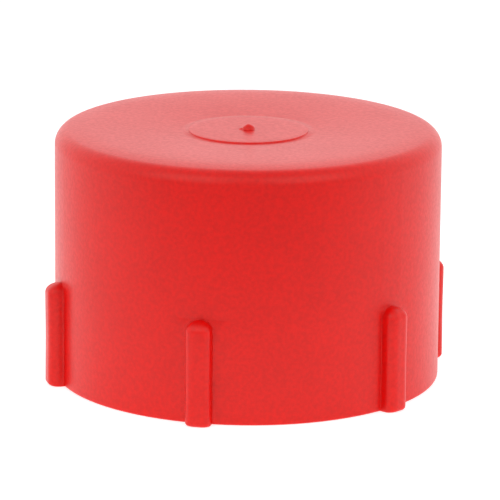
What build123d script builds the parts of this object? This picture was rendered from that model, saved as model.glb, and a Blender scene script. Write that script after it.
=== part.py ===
"""Threaded protection cap, moulded in one piece: a cup with six grip ribs and an inside thread.

Frame: millimetres, +Z up, origin at the centre of the open rim, which is the lowest face. The cap
stands on its rim with the closed end on top, and -Y is its front.
"""
from build123d import *
import math
import os

# Inside thread, right-handed: its ridge stands inwards from the wall
thread_diameter = 33.34  # at the bottom of the groove
thread_pitch = 25.4 / 12
thread_half_angle = 30.0  # degrees
thread_crest_width = 0.53
thread_root_width = 0.26
thread_top = 13.0
runout_angle = 45.0  # degrees from the axis, where the groove ends in the wall

# Cup
height = 24.8
wall_thickness = 2.33  # behind the thread's groove
wall_draft = 0.1  # degrees, wider at the rim
mouth_clearance = 0.43  # between the thread's groove and the edge of the mouth
lead_in_angle = 45.0  # degrees from the axis
land_step = 0.1  # how far the smooth bore above the thread stands inside its ridge
roof_chamfer = 1.2

# Closed end: a sunken middle, a crown round it and a rounded shoulder down to the wall
end_thickness = 2.2
dish_depth = 0.47
crown_radius = 16.8
crown_slope = 7.0  # degrees, where the crown meets the shoulder
shoulder_radius = 1.55

# Gate mark in the middle of the closed end: a low disc with the stub that the gate left
disc_diameter = 11.8
disc_step = 0.22
stub_diameter = 1.2
stub_tip_diameter = 0.8
stub_height = 0.55

# Grip ribs
rib_count = 6
first_rib_angle = -103.4  # degrees from +X
rib_height = 10.3
rib_width = 2.5
rib_depth = 1.45
rib_crest_radius = 0.5

# Places that follow from the sizes above
thread_radius = thread_diameter / 2
flank_slope = math.tan(math.radians(thread_half_angle))
thread_depth = (thread_pitch - thread_crest_width - thread_root_width) / 2 / flank_slope
minor_radius = thread_radius - thread_depth
land_radius = minor_radius - land_step
mouth_radius = thread_radius + mouth_clearance
outside_radius = thread_radius + wall_thickness
dish_z = height - dish_depth
disc_z = dish_z + disc_step
roof_z = dish_z - end_thickness
overlap = 0.15  # how far a helper solid reaches past the face that it meets


def turned(outline):
    """The solid of revolution round Z of a closed outline in the XZ plane."""
    return revolve(make_face(Plane.XZ * outline), Axis.Z)


def cup_blank():
    """The outside of the cup as a full solid, before its inside is taken out."""
    slope = math.sin(math.radians(crown_slope))
    crest_radius = outside_radius - shoulder_radius - (crown_radius - shoulder_radius) * slope
    top = Polyline(
        (0, 0),
        (0, disc_z + stub_height),
        (stub_tip_diameter / 2, disc_z + stub_height),
        (stub_diameter / 2, disc_z),
        (disc_diameter / 2, disc_z),
        (disc_diameter / 2, dish_z),
        (crest_radius, height),
    )
    crown = JernArc(top @ 1, (1, 0), crown_radius, -crown_slope)
    turn = 90 - crown_slope - wall_draft
    shoulder = JernArc(crown @ 1, crown % 1, shoulder_radius, -turn)
    wall_top = shoulder @ 1
    flare = wall_top.Y * math.tan(math.radians(wall_draft))
    wall = Polyline(wall_top, (wall_top.X + flare, 0), (0, 0))
    return turned(Curve() + [top, crown, shoulder, wall])


def grip_rib():
    """One rib in the +X direction: a round-topped outline carried out of the wall, then rounded."""
    root = outside_radius - wall_thickness / 2
    straight = rib_height - rib_width / 2
    outline = Pos(0, straight / 2) * Rectangle(rib_width, straight)
    outline += Pos(0, straight) * Circle(rib_width / 2)
    plane = Plane(origin=(root, 0, 0), x_dir=(0, 1, 0), z_dir=(1, 0, 0))
    rib = extrude(plane * outline, outside_radius + rib_depth - root)
    crest = rib.faces().sort_by(Axis.X)[-1].edges().sort_by(Axis.Z)[1:]
    return fillet(crest, rib_crest_radius)


def grip_ribs():
    """The ribs, evenly spaced round the wall."""
    rib = grip_rib()
    turns = [first_rib_angle + 360 * place / rib_count for place in range(rib_count)]
    return [Rot(0, 0, turn) * rib for turn in turns]


def thread_bore():
    """The room for the thread, out to the bottom of its groove and up to the groove's end."""
    inner = minor_radius - 2 * overlap
    runout = (thread_radius - inner) / math.tan(math.radians(runout_angle))
    top = thread_top + runout
    side = [(thread_radius, -overlap), (thread_radius, thread_top), (inner, top)]
    return turned(Polyline((0, -overlap), *side, (0, top), close=True))


def thread_ridge():
    """The helical ridge, turn by turn, a little deeper than its finished crest and root."""
    first_z = -thread_pitch
    turns = math.ceil((thread_top - first_z) / thread_pitch) + 1
    crest_radius = minor_radius - overlap
    root_radius = thread_radius + overlap
    crest_half = thread_crest_width / 2 - overlap * flank_slope
    root_half = crest_half + (root_radius - crest_radius) * flank_slope
    corners = [
        (crest_radius, -crest_half),
        (crest_radius, crest_half),
        (root_radius, root_half),
        (root_radius, -root_half),
    ]
    faces = []
    for turn in range(turns):
        z = first_z + turn * thread_pitch
        rails = [Pos(0, 0, z + dz) * Edge.make_helix(thread_pitch, thread_pitch, r) for r, dz in corners]
        faces += [Face.make_surface_from_curves(rails[side - 1], rails[side]) for side in range(4)]
        if turn == 0:
            faces.append(Face(Wire.make_polygon([rail @ 0 for rail in rails])))
        if turn == turns - 1:
            faces.append(Face(Wire.make_polygon([rail @ 1 for rail in rails])))
    return Solid(Shell(faces))


def core():
    """What the mould's core leaves open: the lead-in, the bore inside the ridge and the land above."""
    below = 2 * thread_pitch
    spread = math.tan(math.radians(lead_in_angle))
    outline = Polyline(
        (0, -below),
        (mouth_radius + below * spread, -below),
        (minor_radius, (mouth_radius - minor_radius) / spread),
        (minor_radius, thread_top),
        (land_radius, thread_top + land_step),
        (land_radius, roof_z - roof_chamfer),
        (land_radius - roof_chamfer, roof_z),
        (0, roof_z),
        close=True,
    )
    return turned(outline)


def threaded_cap():
    """The whole cap, one solid."""
    cap = cup_blank()
    for rib in grip_ribs():
        cap += rib
    cap -= thread_bore()
    cap += thread_ridge()
    cap -= core()
    return cap


os.makedirs("parts", exist_ok=True)
export_step(threaded_cap(), "parts/threaded_cap.step")
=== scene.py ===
"""Threaded protection cap in red polyethylene: its moulded surface, its finish and its studio.

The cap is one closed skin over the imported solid: a grid of columns round the axis and rows along
the profile, from the gate mark down the outside, round the rim and up the thread to the roof.
Sizes are in millimetres and degrees, as in the part's source; meshes are written in metres. The
frame is the part's own: +Z up, origin at the centre of the open rim, -Y the front.
"""

from __future__ import annotations

import logging
import math
from dataclasses import dataclass, field
from enum import Enum
from typing import Any, Mapping, Sequence

import bpy
import numpy as np
from mathutils import Matrix, Vector

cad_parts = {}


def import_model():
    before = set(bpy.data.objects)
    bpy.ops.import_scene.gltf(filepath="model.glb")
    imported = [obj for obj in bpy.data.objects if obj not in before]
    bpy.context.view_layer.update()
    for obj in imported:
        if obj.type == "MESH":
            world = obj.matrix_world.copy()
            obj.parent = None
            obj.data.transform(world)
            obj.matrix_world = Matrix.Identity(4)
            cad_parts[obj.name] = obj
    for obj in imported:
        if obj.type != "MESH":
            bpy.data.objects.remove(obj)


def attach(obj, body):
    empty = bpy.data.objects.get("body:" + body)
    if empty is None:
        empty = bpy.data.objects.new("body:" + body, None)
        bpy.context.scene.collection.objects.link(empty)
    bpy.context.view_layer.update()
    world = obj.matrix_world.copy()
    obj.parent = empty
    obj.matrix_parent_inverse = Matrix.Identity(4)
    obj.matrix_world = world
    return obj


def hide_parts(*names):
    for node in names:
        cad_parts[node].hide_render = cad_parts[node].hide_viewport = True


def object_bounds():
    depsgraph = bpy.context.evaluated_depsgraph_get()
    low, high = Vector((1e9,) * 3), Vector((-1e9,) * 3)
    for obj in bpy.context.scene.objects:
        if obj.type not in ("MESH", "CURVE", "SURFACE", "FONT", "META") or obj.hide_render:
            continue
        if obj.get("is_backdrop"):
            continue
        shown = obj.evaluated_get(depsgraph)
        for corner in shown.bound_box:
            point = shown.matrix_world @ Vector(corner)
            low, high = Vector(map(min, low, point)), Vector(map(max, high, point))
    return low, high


MM = 0.001
TINY = 1e-6
NODE = "threaded_cap"
BODY = "root"
SLOT = "red_polyethylene"

log = logging.getLogger("cap")

Array = np.ndarray


# Shader maths


class Amount:
    """A number that varies over a surface, so that maths on it reads as Python expressions."""

    def __init__(self, tree: "ShaderTree", socket: bpy.types.NodeSocket) -> None:
        """Wraps an output socket of a tree."""
        self.tree = tree
        self.socket = socket

    def _math(self, operation: str, first: Any, second: Any) -> "Amount":
        """The result of a Math node on two amounts or numbers."""
        made = self.tree.node("ShaderNodeMath", {"operation": operation}, {0: first, 1: second})
        return Amount(self.tree, made.outputs[0])

    def __add__(self, other: Any) -> "Amount":
        """self + other."""
        return self._math("ADD", self, other)

    __radd__ = __add__

    def __sub__(self, other: Any) -> "Amount":
        """self - other."""
        return self._math("SUBTRACT", self, other)

    def __mul__(self, other: Any) -> "Amount":
        """self * other."""
        return self._math("MULTIPLY", self, other)

    def between(self, low: float, high: float) -> "Amount":
        """Goes from 0 where the amount is low to 1 where it is high, along an S curve.

        Args:
            low: The amount that gives 0.
            high: The amount that gives 1.

        Returns:
            The eased share, held at 0 and 1 outside the range.
        """
        settings = {"interpolation_type": "SMOOTHSTEP"}
        values = {"Value": self, "From Min": low, "From Max": high}
        made = self.tree.node("ShaderNodeMapRange", settings, values)
        return Amount(self.tree, made.outputs["Result"])


class ShaderTree:
    """A node tree that is filled in by one method."""

    def __init__(self, tree: bpy.types.NodeTree) -> None:
        """Empties the tree."""
        self.tree = tree
        tree.nodes.clear()

    def node(
        self,
        kind: str,
        settings: Mapping[str, Any] | None = None,
        values: Mapping[Any, Any] | None = None,
    ) -> bpy.types.Node:
        """Adds a node.

        Args:
            kind: Blender's name of the node type.
            settings: The node's own settings, which are set before its sockets.
            values: What each input gets, by the input's name or place: a number, a colour, an
                amount or an output socket.

        Returns:
            The new node.
        """
        made = self.tree.nodes.new(kind)
        for name, value in (settings or {}).items():
            setattr(made, name, value)
        for name, value in (values or {}).items():
            self._feed(made.inputs[name], value)
        return made

    def _feed(self, socket: bpy.types.NodeSocket, value: Any) -> None:
        """Links an amount or an output to an input, or sets the input's own value.

        Args:
            socket: The input.
            value: What it gets: a number, a colour, an amount or an output socket.
        """
        if isinstance(value, Amount):
            value = value.socket
        if isinstance(value, bpy.types.NodeSocket):
            self.tree.links.new(value, socket)
        else:
            socket.default_value = value

    def amount(self, socket: bpy.types.NodeSocket) -> Amount:
        """Wraps an output socket as an amount."""
        return Amount(self, socket)

    def blend(self, share: Any, first: Any, second: Any) -> bpy.types.NodeSocket:
        """The colour that goes from first to second as share goes from 0 to 1."""
        made = self.node("ShaderNodeMix", {"data_type": "RGBA"}, {0: share, 6: first, 7: second})
        return made.outputs[2]


# Finishes


@dataclass(frozen=True)
class RedPolyethylene:
    """Soft red polyethylene as it leaves the mould: satin, finely grained, faintly cloudy."""

    colour: tuple[float, float, float] = (0.74, 0.002, 0.001)
    deep_colour: tuple[float, float, float] = (0.60, 0.001, 0.001)
    roughness: float = 0.34
    roughness_spread: float = 0.07
    specular_level: float = 0.35
    grain_size: float = 0.3
    grain_depth: float = 0.013
    speckle_size: float = 0.38
    cloud_size: float = 7.0
    speckle_share: float = 0.8
    refraction: float = 1.51
    gloss_tint: tuple[float, float, float] = (1.0, 1.0, 0.9)
    translucency: float = 0.5
    scatter_depth: float = 1.0
    scatter_reach: tuple[float, float, float] = (1.0, 0.15, 0.08)

    def _noise(self, tree: ShaderTree, place: Any, size: float, detail: float) -> Amount:
        """Noise between 0 and 1 whose spots are about size millimetres across."""
        values = {"Vector": place, "Scale": 1 / (size * MM), "Detail": detail, "Roughness": 0.55}
        return tree.amount(tree.node("ShaderNodeTexNoise", None, values).outputs["Fac"])

    def material(self) -> bpy.types.Material:
        """Builds the material.

        Soft clouds and a fine speckle, added by their shares, turn the colour towards its deep
        shade and the gloss down a little; the grain of the mould's steel is a bump.

        Returns:
            The material.
        """
        made = bpy.data.materials.new(SLOT)
        made.use_nodes = True
        tree = ShaderTree(made.node_tree)
        place = tree.node("ShaderNodeTexCoord").outputs["Object"]
        clouds = self._noise(tree, place, self.cloud_size, 2.0).between(0.3, 0.7)
        speckle = self._noise(tree, place, self.speckle_size, 3.0).between(0.25, 0.75)
        depth = clouds * (1.0 - self.speckle_share) + speckle * self.speckle_share
        colour = tree.blend(depth, (*self.colour, 1.0), (*self.deep_colour, 1.0))
        gloss = self.roughness + (depth - 0.5) * self.roughness_spread
        grain = self._noise(tree, place, self.grain_size, 2.0)
        bump = tree.node(
            "ShaderNodeBump",
            None,
            {"Strength": 1.0, "Distance": self.grain_depth * MM, "Height": grain},
        )
        shader = tree.node(
            "ShaderNodeBsdfPrincipled",
            None,
            {
                "Base Color": colour,
                "Roughness": gloss,
                "IOR": self.refraction,
                "Specular IOR Level": self.specular_level,
                "Specular Tint": (*self.gloss_tint, 1.0),
                "Subsurface Weight": self.translucency,
                "Subsurface Radius": self.scatter_reach,
                "Subsurface Scale": self.scatter_depth * MM,
                "Normal": bump.outputs["Normal"],
            },
        )
        tree.node("ShaderNodeOutputMaterial", None, {"Surface": shader.outputs["BSDF"]})
        return made


@dataclass(frozen=True)
class PaleTable:
    """The pale table that the cap stands on, with painted light: a glow painted round the cap, and
    painted shade towards the front.
    """

    colour: tuple[float, float, float] = (0.62, 0.62, 0.62)
    # painted shade: a greyer colour and a dimmer emission towards the front
    painted_shade_colour: tuple[float, float, float] = (0.4, 0.4, 0.4)
    painted_shade_from: float = 40.0
    painted_shade_to: float = 90.0
    # painted light: the emission that makes the table glow round the cap, though it is no lamp
    painted_glow_strength: float = 0.68
    painted_glow_far: float = 0.75
    painted_glow_front: float = 0.18
    painted_glow_from: float = 40.0
    painted_glow_to: float = 95.0

    def material(self) -> bpy.types.Material:
        """Builds the matt material.

        The table's emission is painted light: a glow painted round the cap, though the table is no
        lamp, which fades along an S curve with the distance from the middle. Towards the front the
        table turns greyer and its emission dimmer, which is painted shade.

        Returns:
            The material.
        """
        made = bpy.data.materials.new("pale_table")
        made.use_nodes = True
        tree = ShaderTree(made.node_tree)
        place = tree.node("ShaderNodeTexCoord").outputs["Object"]
        length = tree.node("ShaderNodeVectorMath", {"operation": "LENGTH"}, {0: place})
        # painted light: the painted glow fades with the distance from the cap's middle
        far = tree.amount(length.outputs["Value"]).between(self.painted_glow_from * MM, self.painted_glow_to * MM)
        parts = tree.node("ShaderNodeSeparateXYZ", None, {"Vector": place})
        ahead = tree.amount(parts.outputs["Y"]) * -1.0
        # painted shade: the table darkens towards the front
        front = ahead.between(self.painted_shade_from * MM, self.painted_shade_to * MM)
        colour = tree.blend(front, (*self.colour, 1.0), (*self.painted_shade_colour, 1.0))
        # painted light: the table's emission, brightest round the cap, dimmer further out, dimmest
        # at the front
        light = tree.blend(far, (1.0, 1.0, 1.0, 1.0), (*[self.painted_glow_far] * 3, 1.0))
        light = tree.blend(front, light, (*[self.painted_glow_front] * 3, 1.0))
        # painted light: the table glows though it is no lamp
        shader = tree.node(
            "ShaderNodeBsdfPrincipled",
            None,
            {
                "Base Color": colour,
                "Roughness": 0.9,
                "Specular IOR Level": 0.1,
                "Emission Color": light,
                "Emission Strength": self.painted_glow_strength,
            },
        )
        tree.node("ShaderNodeOutputMaterial", None, {"Surface": shader.outputs["BSDF"]})
        return made


# Surfaces


def eased(share: Array) -> Array:
    """The S curve 3x^2 - 2x^3 of a share, held between 0 and 1."""
    held = np.clip(share, 0.0, 1.0)
    return held * held * (3.0 - 2.0 * held)


def soft_least(first: Array, second: Array, reach: float) -> Array:
    """The lesser of two arrays, with the corner where they cross rounded off.

    Where they differ by less than reach, a quarter of the squared overlap is taken off, which is
    a parabola that leaves both smoothly: min(a, b) - (reach - |a - b|)^2 / (4 reach).

    Args:
        first: One array.
        second: The other array.
        reach: How near the two must be for the corner to start.

    Returns:
        The rounded minimum.
    """
    overlap = np.maximum(reach - np.abs(first - second), 0.0)
    return np.minimum(first, second) - overlap * overlap / (4.0 * reach)


def soft_most(first: Array, second: Array, reach: float) -> Array:
    """The greater of two arrays, with the corner where they cross rounded off."""
    return -soft_least(-first, -second, reach)


def edge_set_back(z: Array, radius: float) -> Array:
    """How far a rounded bottom edge lies behind its face at height z: r - sqrt(r^2 - (r - z)^2)."""
    below = np.clip(radius - z, 0.0, radius)
    return radius - np.sqrt(radius * radius - below * below)


def closed_skin(rows: Array) -> tuple[Array, Array]:
    """Turns a grid of rows round an axis into a closed skin.

    The first and last rows are single points. Row i, column j becomes vertex 1 + i * columns + j,
    every four neighbours become a face, and the two ends are closed with a fan each.

    Args:
        rows: Places, rows by columns by 3, ordered so that faces point outwards.

    Returns:
        The vertices, and the faces as four corners each with the fourth repeated on triangles.
    """
    count, columns = rows.shape[0] - 2, rows.shape[1]
    body = rows[1:-1].reshape(-1, 3)
    points = np.concatenate([rows[:1, 0], body, rows[-1:, 0]])
    here = np.arange(columns)
    beside = np.roll(here, -1)
    first = 1 + (np.arange(count - 1) * columns)[:, None]
    below = first + columns
    quads = np.stack([first + here, below + here, below + beside, first + beside], -1)
    last = 1 + (count - 1) * columns
    end = len(points) - 1
    top = np.stack([np.zeros(columns, int), 1 + here, 1 + beside, 1 + beside], -1)
    bottom = np.stack([last + here, np.full(columns, end), last + beside, last + beside], -1)
    return points, np.concatenate([top, quads.reshape(-1, 4), bottom])


def ring(radius: Any, z: Any, turn: Array) -> Array:
    """Rows of a surface of revolution: (r cos a, r sin a, z).

    Args:
        radius: The radius of each row, or of each place.
        z: The height of each row, or of each place.
        turn: The angle of each column.

    Returns:
        Places, rows by columns by 3.
    """
    wide = np.broadcast_to(radius, np.broadcast_shapes(np.shape(radius), turn.shape))
    high = np.broadcast_to(z, wide.shape)
    return np.stack([wide * np.cos(turn), wide * np.sin(turn), high], -1)


def arc(start: float, end: float, count: int) -> Array:
    """Angles in radians from start to end in count steps, without the start itself."""
    return np.linspace(start, end, count + 1)[1:]


def smooth_piece(
    name: str, points: Array, corners: Array, material: bpy.types.Material
) -> bpy.types.Object:
    """Makes a smooth-shaded object at the origin from places in millimetres.

    Args:
        name: The object's name.
        points: The vertices, in millimetres.
        corners: Four corners a face, the fourth repeated on triangles.
        material: Its material.

    Returns:
        The object, linked to the scene.
    """
    mesh = bpy.data.meshes.new(name)
    sides = np.where(corners[:, 2] == corners[:, 3], 3, 4)
    keep = np.arange(4)[None, :] < sides[:, None]
    loops = corners[keep]
    starts = np.concatenate([[0], np.cumsum(sides)[:-1]])
    mesh.vertices.add(len(points))
    mesh.vertices.foreach_set("co", (points * MM).astype(np.float32).ravel())
    mesh.loops.add(len(loops))
    mesh.loops.foreach_set("vertex_index", loops.astype(np.int32))
    mesh.polygons.add(len(corners))
    mesh.polygons.foreach_set("loop_start", starts.astype(np.int32))
    mesh.polygons.foreach_set("use_smooth", np.ones(len(corners), bool))
    mesh.update(calc_edges=True)
    mesh.validate()
    mesh.materials.append(material)
    piece = bpy.data.objects.new(name, mesh)
    bpy.context.scene.collection.objects.link(piece)
    return piece


# The cap


@dataclass
class GripRibs:
    """Six upright ribs on the lower wall, with rounded crests, domed tops and rounded feet."""

    count: int = 6
    first_angle: float = -103.4
    height: float = 10.3
    width: float = 2.5
    depth: float = 1.45
    crest_radius: float = 0.85
    root_radius: float = 0.05
    dome_height: float = 1.05
    squareness: float = 2.0
    waist: float = 0.04
    foot_radius: float = 0.4
    foot_narrowing: float = 0.25
    pinch: float = 0.12
    fade_height: float = 1.6
    crest_steps: int = 8
    wall_steps: int = 14

    def section(self) -> tuple[Array, Array]:
        """One rib's outline across, from the wall on one side to the wall on the other.

        A side is a root fillet that leaves the wall at a right angle to the flank, the flank, a
        quarter circle and the flat crest; the other side is its mirror image.

        Returns:
            How far each point lies to the side, in millimetres, and its share of the rib's depth.
        """
        half, depth, crest, root = self.width / 2, self.depth, self.crest_radius, self.root_radius
        turn = np.linspace(0.0, math.pi / 2, 4)
        root_x = half + root - root * np.sin(turn)
        root_y = root - root * np.cos(turn)
        flank_y = np.linspace(root, depth - crest, 4)[1:-1]
        turn = np.linspace(0.0, math.pi / 2, self.crest_steps)
        crest_x = half - crest + crest * np.cos(turn)
        crest_y = depth - crest + crest * np.sin(turn)
        flat_x = np.linspace(half - crest, 0.0, 4)[1:]
        side = np.concatenate([root_x, np.full(2, half), crest_x, flat_x])
        rise = np.concatenate([root_y, flank_y, crest_y, np.full(3, depth)])
        sideways = np.concatenate([-side, side[-2::-1]])
        share = np.concatenate([rise, rise[-2::-1]]) / depth
        return sideways, share

    def rows(self) -> Array:
        """Heights at which the wall gets a row, from above the ribs' tops down to the rim.

        Returns:
            The heights, closer together over the dome and round the foot.
        """
        above = self.height + np.array([self.fade_height, 0.9, 0.45, 0.2, 0.06])
        dome = self.height - self.dome_height * (1.0 - np.sin(np.linspace(math.pi / 2, 0.0, 15)))
        straight = np.linspace(self.height - self.dome_height, self.foot_radius, 9)[1:]
        foot = self.foot_radius * (1.0 - np.sin(np.linspace(0.0, math.pi / 2, 8)))[1:]
        return np.concatenate([above, dome, straight, foot])

    def scales(self, z: Array) -> tuple[Array, Array]:
        """How wide and how deep the rib is at each height, as shares of its full section.

        Over the dome both follow (1 - u^n)^(1/n), a squarish ellipse, where u is the share of the
        dome's height and n its squareness. The width stops at the pinch and opens again above the
        rib, on the bare wall.

        Args:
            z: Heights.

        Returns:
            The share of the width and the share of the depth.
        """
        up = (z - (self.height - self.dome_height)) / self.dome_height
        left = np.clip(1.0 - np.clip(up, 0.0, 1.0) ** self.squareness, 0.0, 1.0)
        round_off = left ** (1 / self.squareness)
        width = np.maximum(round_off, self.pinch)
        opened = eased((z - self.height) / self.fade_height)
        width = np.where(z > self.height, self.pinch + (1.0 - self.pinch) * opened, width)
        middle = (z - self.foot_radius) / (self.height - self.dome_height - self.foot_radius)
        waist = 1.0 - self.waist / self.depth * np.sin(math.pi * np.clip(middle, 0.0, 1.0)) ** 2
        return width, round_off * waist


@dataclass
class InsideThread:
    """The right-handed thread inside the cup: a ridge that winds up the bore."""

    radius: float = 16.67
    pitch: float = 25.4 / 12
    half_angle: float = 30.0
    crest_width: float = 0.53
    root_width: float = 0.26
    top: float = 13.0
    land_step: float = 0.1
    mouth_clearance: float = 0.43
    corner_reach: float = 0.11
    runout_reach: float = 0.1
    rows_beyond: float = 0.15
    steps_per_turn: int = 24

    def __post_init__(self) -> None:
        """Works out the depth and the radii that follow from it."""
        self.slope = math.tan(math.radians(self.half_angle))
        self.depth = (self.pitch - self.crest_width - self.root_width) / 2 / self.slope
        self.crest_radius = self.radius - self.depth
        self.land_radius = self.crest_radius - self.land_step
        self.mouth_radius = self.radius + self.mouth_clearance
        self.end = self.top + self.depth + self.land_step

    def rows(self) -> Array:
        """Heights of the rows up the bore, from the mouth to just above the thread's end."""
        count = math.ceil(self.end / self.pitch * self.steps_per_turn)
        return np.linspace(0.0, self.end + self.rows_beyond, count + 1)

    def bore(self, angle: Array, z: Array) -> Array:
        """The bore's radius at an angle and a height.

        The ridge's middle climbs one pitch a turn. Beside it the radius grows along the flank to
        the groove, which is as wide as the thread's major radius and closes at 45 degrees above
        its top. The core stands inside: a 45 degree lead-in, the ridge's crest and the land.

        Args:
            angle: Angles from +X, in radians.
            z: Heights.

        Returns:
            The radius at each place.
        """
        turns = z / self.pitch - angle / (2 * math.pi)
        beside = np.abs(turns - np.round(turns)) * self.pitch
        flank = self.crest_radius + (beside - self.crest_width / 2) / self.slope
        closing = self.radius - np.maximum(z - self.top, 0.0)
        bottom = soft_least(np.full_like(flank, self.radius), closing, self.runout_reach)
        groove = soft_least(flank, bottom, self.corner_reach)
        land = self.crest_radius - self.land_step * eased((z - self.top) / self.land_step)
        core = soft_most(land, self.mouth_radius - z, self.corner_reach)
        return soft_most(groove, core, self.corner_reach)


@dataclass
class ClosedEnd:
    """The top of the cup: gate mark, sunken middle, crown and rounded shoulder."""

    height: float = 24.8
    dish_depth: float = 0.4
    crown_radius: float = 16.8
    crown_slope: float = 7.0
    shoulder_radius: float = 1.55
    disc_diameter: float = 11.75
    disc_step: float = 0.15
    disc_edge: float = 0.05
    disc_foot: float = 0.05
    dish_curve: float = 1.5
    mark_radius: float = 1.25
    stub_diameter: float = 1.26
    stub_height: float = 0.51
    stub_squareness: float = 2.2
    tail_length: float = 0.95
    tail_height: float = 0.2
    tail_half_width: float = 0.38
    tail_tip: float = 0.03

    def __post_init__(self) -> None:
        """Works out the heights of the sunken middle and the disc on it, and the disc's radius."""
        self.dish_z = self.height - self.dish_depth
        self.disc_z = self.dish_z + self.disc_step
        self.disc_radius = self.disc_diameter / 2

    def stub(self, x: Array, y: Array) -> Array:
        """The height that the torn gate adds to the disc.

        A round stub falls off along the root of 1 - (r / a)^n, where n is its squareness, and its
        top is slightly tilted and uneven. A low tail, pulled out to the left, thins as it goes.

        Args:
            x: Places across, from the middle.
            y: Places from front to back, from the middle.

        Returns:
            The added height.
        """
        across = np.hypot(x, y) / (self.stub_diameter / 2)
        tilt = 1.0 + 0.16 * x - 0.1 * y + 0.06 * np.sin(7.0 * x + 2.0) * np.cos(6.0 * y)
        left = np.clip(1.0 - across ** self.stub_squareness, 0.0, 1.0)
        post = self.stub_height * tilt * np.sqrt(left)
        along = np.clip(-x / self.tail_length, 0.0, 1.0)
        half = self.tail_half_width * (1.0 - along) + self.tail_tip
        ridge = np.clip(1.0 - (y / half) ** 2, 0.0, 1.0) * (1.0 - along) ** 0.5 * (x < 0)
        tail = self.tail_height * ridge
        return np.maximum(post, tail)

    def disc_outline(self) -> Array:
        """The profile of the gate's disc: close rows for the stub, the flat, the edge, the foot.

        Returns:
            Radius and height of each row.
        """
        mark = np.linspace(0.0, self.mark_radius, 26)
        flat = np.linspace(self.mark_radius, self.disc_radius - self.disc_edge, 8)[1:]
        turn = arc(0.0, math.pi / 2, 4)
        edge_x = self.disc_radius - self.disc_edge * (1.0 - np.sin(turn))
        edge_z = self.disc_z - self.disc_edge * (1.0 - np.cos(turn))
        foot_x = self.disc_radius + self.disc_foot * np.array([0.2, 1.0])
        foot_z = self.dish_z + self.disc_foot * np.array([1.0, 0.0])
        x = np.concatenate([mark, flat, edge_x, foot_x])
        level = np.full(len(mark) + len(flat), self.disc_z)
        return np.stack([x, np.concatenate([level, edge_z, foot_z])], -1)

    def outline(self, wall_radius: float, draft: float) -> Array:
        """The profile from the axis over the end to the top of the straight wall.

        After the disc come the sunken middle, which rises as 1 - (1 - s)^c over its share s, the
        arc of the crown and the arc of the shoulder.

        Args:
            wall_radius: The wall's outside radius at the shoulder's foot.
            draft: The wall's draft, in degrees.

        Returns:
            Radius and height of each row.
        """
        slope = math.radians(self.crown_slope)
        spread = self.crown_radius - self.shoulder_radius
        crest = wall_radius - self.shoulder_radius - spread * math.sin(slope)
        share = np.linspace(0.0, 1.0, 13)[1:]
        dish_x = self.disc_radius + (crest - self.disc_radius) * share
        dish_z = self.dish_z + self.dish_depth * (1.0 - (1.0 - share) ** self.dish_curve)
        turn = arc(0.0, slope, 5)
        crown_x = crest + self.crown_radius * np.sin(turn)
        crown_z = self.height - self.crown_radius * (1.0 - np.cos(turn))
        turn = arc(slope, math.pi / 2 - math.radians(draft), 18)
        centre_x = crest + spread * math.sin(slope)
        centre_z = self.height - spread * (1.0 - math.cos(slope)) - self.shoulder_radius
        shoulder_x = centre_x + self.shoulder_radius * np.sin(turn)
        shoulder_z = centre_z + self.shoulder_radius * np.cos(turn)
        x = np.concatenate([dish_x, crown_x, shoulder_x])
        z = np.concatenate([dish_z, crown_z, shoulder_z])
        return np.concatenate([self.disc_outline(), np.stack([x, z], -1)])


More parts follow.
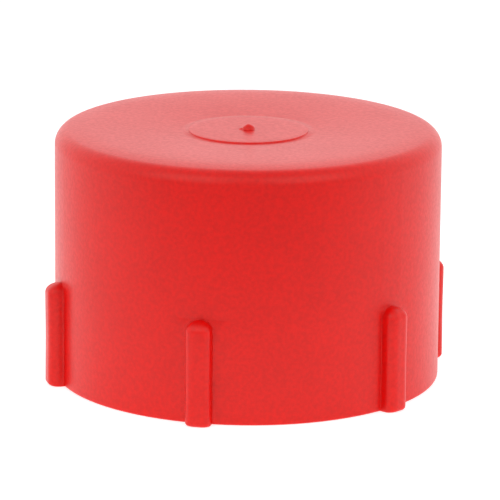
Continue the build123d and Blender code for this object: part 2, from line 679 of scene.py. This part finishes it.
@dataclass
class CapMoulding:
    """The whole cap as one closed skin, from the gate mark to the roof inside."""

    wall_thickness: float = 2.33
    wall_draft: float = 0.1
    roof_z: float = 22.13
    roof_chamfer: float = 1.2
    rim_edge: float = 0.22
    shoulder_drop: float = 1.6
    bare_wall_rows: tuple[float, ...] = (19.0, 15.0)
    ribs: GripRibs = field(default_factory=GripRibs)
    thread: InsideThread = field(default_factory=InsideThread)
    end: ClosedEnd = field(default_factory=ClosedEnd)
    finish: RedPolyethylene = field(default_factory=RedPolyethylene)

    def __post_init__(self) -> None:
        """Works out the wall's outside radius."""
        self.outside_radius = self.thread.radius + self.wall_thickness

    def columns(self) -> tuple[Array, Array, Array]:
        """The columns round the cap: dense over each rib, wider apart on the wall between.

        Returns:
            Each column's angle round the cap and its angle from the middle of its rib, both in
            radians, and its share of the rib's depth.
        """
        sideways, share = self.ribs.section()
        reach = math.asin(sideways[-1] / self.outside_radius)
        step = 2 * math.pi / self.ribs.count
        between = np.linspace(reach, step - reach, self.ribs.wall_steps)[1:-1]
        angles = np.concatenate([np.arcsin(sideways / self.outside_radius), between])
        rise = np.concatenate([share, np.zeros(len(between))])
        first = math.radians(self.ribs.first_angle)
        centres = first + step * np.arange(self.ribs.count)
        turn = (centres[:, None] + angles[None, :]).ravel()
        local = np.tile(angles, self.ribs.count)
        return turn, local, np.tile(rise, self.ribs.count)

    def closed_end_rows(self, turn: Array) -> Array:
        """The rows of the end, with the torn gate raised on its disc.

        Args:
            turn: Each column's angle.

        Returns:
            The rows, from the axis out to the top of the straight wall.
        """
        line = self.end.outline(self.outside_radius, self.wall_draft)
        rows = ring(line[:, :1], line[:, 1:], turn[None, :])
        on_disc = line[:, :1] < self.end.disc_radius - self.end.disc_edge
        rows[..., 2] += self.end.stub(rows[..., 0], rows[..., 1]) * on_disc
        return rows

    def wall_rows(self, turn: Array, local: Array, rise: Array) -> Array:
        """The rows down the outside wall and its ribs.

        A column beside a rib's middle keeps its own side place t, narrowed over the dome. The
        wall lies at sqrt(R^2 - t^2) along the rib's axis and the crest at R + depth; the column
        stands at its share of the way between them, set back at the rounded foot.

        Args:
            turn: Each column's angle.
            local: Each column's angle from the middle of its rib.
            rise: Each column's share of the rib's depth.

        Returns:
            The rows, from above the ribs down to the rim's face.
        """
        z = np.concatenate([self.bare_wall_rows, self.ribs.rows()])[:, None]
        wall_top = self.end.height - self.shoulder_drop
        radius = self.outside_radius + (wall_top - z) * math.tan(math.radians(self.wall_draft))
        width, depth = self.ribs.scales(z)
        half = self.ribs.width / 2
        rib_reach = math.asin((half + self.ribs.root_radius + TINY) / self.outside_radius)
        on_rib = np.abs(local) < rib_reach
        narrowed = np.where(on_rib[None, :], width, 1.0)
        rib_foot = edge_set_back(z, self.ribs.foot_radius)
        rim_foot = edge_set_back(z, self.rim_edge)
        side = self.outside_radius * np.sin(local)[None, :] * narrowed
        side = side * (1.0 - self.ribs.foot_narrowing * rib_foot / half * (rise > 0)[None, :])
        wall = np.sqrt(np.maximum(radius ** 2 - side ** 2, 0.0)) - rim_foot
        crest = self.outside_radius + self.ribs.depth - rib_foot
        out = wall + (crest - wall) * depth * rise[None, :]
        centre = turn - local
        x = out * np.cos(centre) - side * np.sin(centre)
        y = out * np.sin(centre) + side * np.cos(centre)
        plain = ring(radius - rim_foot, z, turn[None, :])
        rows = np.stack([x, y, np.broadcast_to(z, x.shape)], -1)
        rows[:, ~on_rib] = plain[:, ~on_rib]
        return rows

    def rim_rows(self, outer: Array, inner: Array) -> Array:
        """The flat rim: straight lines from the outer outline to the mouth's edge."""
        share = np.linspace(0.0, 1.0, 7)[1:-1][:, None, None]
        return outer[None] + (inner - outer)[None] * share

    def inside_rows(self, turn: Array) -> Array:
        """The rows up the thread, over the land and the chamfered corner, and in along the roof.

        Args:
            turn: Each column's angle.

        Returns:
            The rows, from the mouth's edge to the axis at the roof.
        """
        z = self.thread.rows()[:, None]
        thread = ring(self.thread.bore(turn[None, :], z), z, turn[None, :])
        land = self.thread.land_radius
        corner = self.roof_z - self.roof_chamfer
        high = np.concatenate([np.linspace(z[-1, 0], corner - 0.1, 6)[1:], [corner, corner + 0.1]])
        inset = np.maximum(high - corner, 0.0)
        upper = ring((land - inset)[:, None], high[:, None], turn[None, :])
        slant = np.linspace(0.15, 1.0, 4)
        slant = (self.roof_chamfer * slant)[:, None]
        chamfer = ring(land - slant, corner + slant, turn[None, :])
        flat = np.array([0.995, 0.9, 0.7, 0.45, 0.2, 0.0])
        roof = ring(((land - self.roof_chamfer) * flat)[:, None], self.roof_z, turn[None, :])
        return np.concatenate([thread, upper, chamfer, roof])

    def build(self) -> bpy.types.Object:
        """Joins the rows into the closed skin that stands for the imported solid.

        Returns:
            The finished piece.
        """
        turn, local, rise = self.columns()
        end = self.closed_end_rows(turn)
        wall = self.wall_rows(turn, local, rise)
        inside = self.inside_rows(turn)
        rim = self.rim_rows(wall[-1], inside[0])
        rows = np.concatenate([end, wall, rim, inside])
        points, corners = closed_skin(rows)
        piece = smooth_piece("cap_moulding", points, corners, self.finish.material())
        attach(piece, BODY)
        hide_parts(NODE)
        log.info("cap moulding: %d rows by %d columns", *rows.shape[:2])
        return piece


# The studio


class Side(Enum):
    """Where a soft light stands, by its angle round the cap from the front, left negative."""

    FRONT_LEFT = -38.0
    FRONT_RIGHT = 38.0


@dataclass(frozen=True)
class SoftLight:
    """A square soft box that faces the cap."""

    name: str
    side: Side
    elevation: float
    distance: float
    size: float
    radiance: float

    def build(self, aim: Vector) -> bpy.types.Object:
        """Sets the light up.

        A square light of side s and power P has a radiance of P / (pi s^2), in metres.

        Args:
            aim: The point that it faces.

        Returns:
            The light.
        """
        data = bpy.data.lights.new(self.name, "AREA")
        data.shape = "SQUARE"
        data.size = self.size * MM
        data.energy = self.radiance * math.pi * (self.size * MM) ** 2
        round_angle, up = math.radians(self.side.value), math.radians(self.elevation)
        flat = math.cos(up)
        away = Vector((math.sin(round_angle) * flat, -math.cos(round_angle) * flat, math.sin(up)))
        light = bpy.data.objects.new(self.name, data)
        light.location = aim + away * (self.distance * MM)
        light.rotation_mode = "QUATERNION"
        light.rotation_quaternion = away.to_track_quat("Z", "Y")
        bpy.context.scene.collection.objects.link(light)
        return light


@dataclass
class Studio:
    """A pale table under an even sky, with a soft box high on each side of the camera."""

    table_radius: float = 420.0
    table_gap: float = 0.03
    table_columns: int = 96
    table_rings: int = 12
    sky_back: float = 1.24
    sky_front: float = 0.7
    sky_above: float = 0.75
    table: PaleTable = field(default_factory=PaleTable)
    lights: Sequence[SoftLight] = (
        SoftLight("left_soft_box", Side.FRONT_LEFT, 42.0, 340.0, 240.0, 0.9),
        SoftLight("right_soft_box", Side.FRONT_RIGHT, 42.0, 340.0, 240.0, 0.9),
    )

    def sky(self) -> None:
        """Makes the sky: white behind the cap, dimmer in front and dimmest overhead."""
        world = bpy.data.worlds.new("studio_sky")
        bpy.context.scene.world = world
        world.use_nodes = True
        tree = ShaderTree(world.node_tree)
        place = tree.node("ShaderNodeTexCoord").outputs["Generated"]
        parts = tree.node("ShaderNodeSeparateXYZ", None, {"Vector": place})
        back = tree.amount(parts.outputs["Y"]).between(-0.9, 0.1)
        around = tree.blend(back, (*[self.sky_front] * 3, 1.0), (*[self.sky_back] * 3, 1.0))
        above = tree.amount(parts.outputs["Z"]).between(0.45, 1.0)
        light = tree.blend(above, around, (*[self.sky_above] * 3, 1.0))
        sky = tree.node("ShaderNodeBackground", None, {"Color": light, "Strength": 1.0})
        tree.node("ShaderNodeOutputWorld", None, {"Surface": sky.outputs["Background"]})

    def floor(self) -> bpy.types.Object:
        """Makes the round table top, a disc just under the rim.

        Returns:
            The table top.
        """
        columns, rings = self.table_columns, self.table_rings
        turn = np.linspace(0.0, 2 * math.pi, columns + 1)[:-1]
        radius = np.linspace(0.0, 1.0, rings + 1)[1:, None] * self.table_radius
        points = np.concatenate([np.zeros((1, 3)), ring(radius, 0.0, turn).reshape(-1, 3)])
        points[:, 2] -= self.table_gap
        here = np.arange(columns)
        beside = np.roll(here, -1)
        first = 1 + (np.arange(rings - 1) * columns)[:, None]
        outer = first + columns
        quads = np.stack([first + here, outer + here, outer + beside, first + beside], -1)
        fan = np.stack([np.zeros(columns, int), 1 + here, 1 + beside, 1 + beside], -1)
        faces = np.concatenate([fan, quads.reshape(-1, 4)])
        top = smooth_piece("pale_table_top", points, faces, self.table.material())
        top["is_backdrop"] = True
        return top

    def build(self, aim: Vector) -> None:
        """Builds the table, the sky and the lights.

        Args:
            aim: The point that the lights face.
        """
        self.sky()
        self.floor()
        for light in self.lights:
            light.build(aim)
        log.info("studio: table, sky and %d soft boxes", len(self.lights))


@dataclass
class ViewingAngle:
    """The camera: where it stands and how its view is framed."""

    elevation: float = 14.64
    distance: float = 376.4
    aim_height: float = 12.41
    focal_length: float = 273.96
    sensor_width: float = 36.0
    yaw: float = 0.0394
    pitch: float = -0.0173
    roll: float = -0.506

    def build(self) -> bpy.types.Object:
        """Makes the scene's camera.

        It stands in front of the cap at its elevation, looks at the axis at the aim height, and
        is then turned by small angles: yaw about its up axis, pitch about its right axis and roll
        about its line of sight.

        Returns:
            The camera.
        """
        up_angle = math.radians(self.elevation)
        back = np.array([0.0, -math.cos(up_angle), math.sin(up_angle)])
        right = np.array([1.0, 0.0, 0.0])
        up, ahead = np.cross(back, right), -back
        turned = [math.radians(angle) for angle in (self.yaw, self.pitch, self.roll)]
        (yaw_c, pitch_c, roll_c), (yaw_s, pitch_s, roll_s) = np.cos(turned), np.sin(turned)
        right, ahead = yaw_c * right - yaw_s * ahead, yaw_s * right + yaw_c * ahead
        up, ahead = pitch_c * up - pitch_s * ahead, pitch_s * up + pitch_c * ahead
        right, up = roll_c * right - roll_s * up, roll_s * right + roll_c * up
        data = bpy.data.cameras.new("camera")
        data.lens, data.sensor_width = self.focal_length, self.sensor_width
        data.clip_start, data.clip_end = 0.01, 10.0
        camera = bpy.data.objects.new("camera", data)
        place = np.array([0.0, 0.0, self.aim_height]) + back * self.distance
        pose = np.eye(4)
        pose[:3, :3] = np.stack([right, up, -ahead], -1)
        pose[:3, 3] = place * MM
        camera.matrix_world = Matrix(pose.tolist())
        bpy.context.scene.collection.objects.link(camera)
        bpy.context.scene.camera = camera
        return camera


def corners(box: Sequence[Vector]) -> list[list[float]]:
    """A box's two corners as plain lists of numbers."""
    return [[float(value) for value in corner] for corner in box]


def main() -> None:
    """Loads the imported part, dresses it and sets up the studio."""
    logging.basicConfig(level=logging.INFO, format="%(name)s: %(message)s")
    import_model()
    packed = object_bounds()
    ViewingAngle().build()
    CapMoulding().build()
    lowest, highest = packed
    Studio().build((lowest + highest) / 2)
    bpy.context.scene.view_settings.view_transform = "Standard"


if __name__ == "__main__":
    main()
